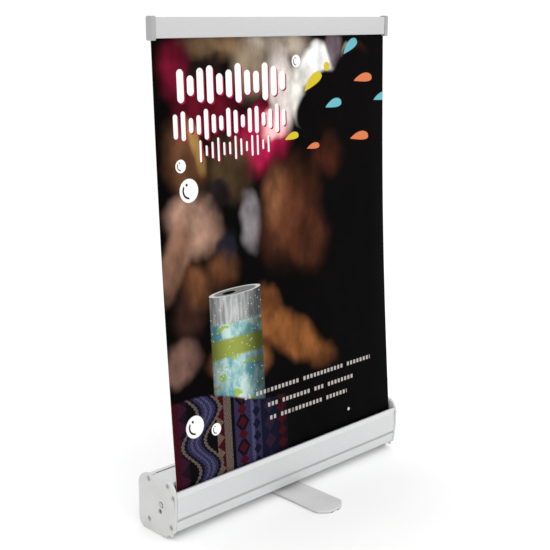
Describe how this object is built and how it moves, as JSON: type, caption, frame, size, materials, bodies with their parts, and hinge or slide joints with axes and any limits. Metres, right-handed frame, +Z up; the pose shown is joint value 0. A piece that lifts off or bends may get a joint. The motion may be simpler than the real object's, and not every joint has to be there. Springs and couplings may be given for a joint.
{
  "type": "desktop roll-up banner stand",
  "caption": "Desktop retractable banner stand: spring cassette with swivel foot, printed sheet, top rail and telescoping rear pole.",
  "frame": {"origin": "on the ground under the middle of the cassette, level with the foot pivot front to back", "axes": "+X along the cassette to the right as the banner is read, +Y to the back where the pole stands, +Z up"},
  "size_m": [0.3118, 0.169, 0.4634],
  "materials": {
    "aluminium_profile": "fine satin anodised silver",
    "pole_aluminium": "drawn tube, satin",
    "cap_plastic": "light grey moulded plastic",
    "dark_plastic": "black moulded plastic",
    "foot_paint": "light grey powder coat",
    "steel": "zinc plated",
    "spring_wire": "oiled dark spring steel",
    "pad_rubber": "black rubber",
    "print_face": "printed polyester film with a satin face",
    "plain_film": "unprinted polyester film"
  },
  "bodies": {
    "base": {"banner_leader": "plain_film", "banner_sheet": "print_face", "cassette_housing": "aluminium_profile", "foot_pivot_bolt": "steel", "foot_pivot_nut": "steel", "left_cap_screw_1": "steel", "left_cap_screw_2": "steel", "left_cap_screw_3": "steel", "left_cap_screw_4": "steel", "left_cap_screw_5": "steel", "left_end_cap": "cap_plastic", "lower_pole_collar": "dark_plastic", "lower_pole_tube": "pole_aluminium", "pole_socket": "dark_plastic", "right_cap_screw_1": "steel", "right_cap_screw_2": "steel", "right_cap_screw_3": "steel", "right_cap_screw_4": "steel", "right_cap_screw_5": "steel", "right_end_cap": "cap_plastic", "right_spindle": "steel", "spring_fixed_collar": "dark_plastic", "spring_shaft": "steel", "torsion_spring": "spring_wire"},
    "roller": {"roller_tube": "pole_aluminium", "left_tube_plug": "dark_plastic", "right_tube_plug": "dark_plastic", "spring_drive_bush": "dark_plastic", "wound_sheet": "plain_film"},
    "rail": {"top_rail": "aluminium_profile", "left_rail_cap": "cap_plastic", "right_rail_cap": "cap_plastic", "hem_clamp_strip": "dark_plastic", "banner_hem": "plain_film"},
    "middle_pole": {"middle_pole_tube": "pole_aluminium", "middle_pole_collar": "dark_plastic"},
    "upper_pole": {"upper_pole_tube": "pole_aluminium", "pole_hook": "dark_plastic"},
    "foot": {"foot_plate": "foot_paint", "foot_pivot_washer": "steel", "foot_pad_back_left": "pad_rubber", "foot_pad_back_right": "pad_rubber", "foot_pad_front_left": "pad_rubber", "foot_pad_front_right": "pad_rubber"}
  },
  "joints": [
    {"name": "rail_slide", "type": "slide", "parent": "base", "child": "rail", "axis": [0, 0, 1], "range_m": [-0.24, 0], "deforming": ["banner_sheet"]},
    {"name": "upper_pole_slide", "type": "slide", "parent": "base", "child": "upper_pole", "axis": [0, 0, 1], "range_m": [-0.24, 0]},
    {"name": "middle_pole_slide", "type": "slide", "parent": "base", "child": "middle_pole", "axis": [0, 0, 1], "range_m": [-0.12, 0]},
    {"name": "roller_spin", "type": "hinge", "parent": "base", "child": "roller", "pos_m": [0, -0.0075, 0.031], "axis": [1, 0, 0], "range_deg": [0, 1200]},
    {"name": "foot_swivel", "type": "hinge", "parent": "base", "child": "foot", "pos_m": [-0.003, 0, 0.002], "axis": [0, 0, 1], "range_deg": [-90, 90]}
  ],
  "couplings": [
    {"joint": "upper_pole_slide", "follows": "rail_slide", "ratio": 1},
    {"joint": "middle_pole_slide", "follows": "rail_slide", "ratio": 0.5},
    {"joint": "roller_spin", "follows": "rail_slide", "rad_per_m": -87.18}
  ]
}
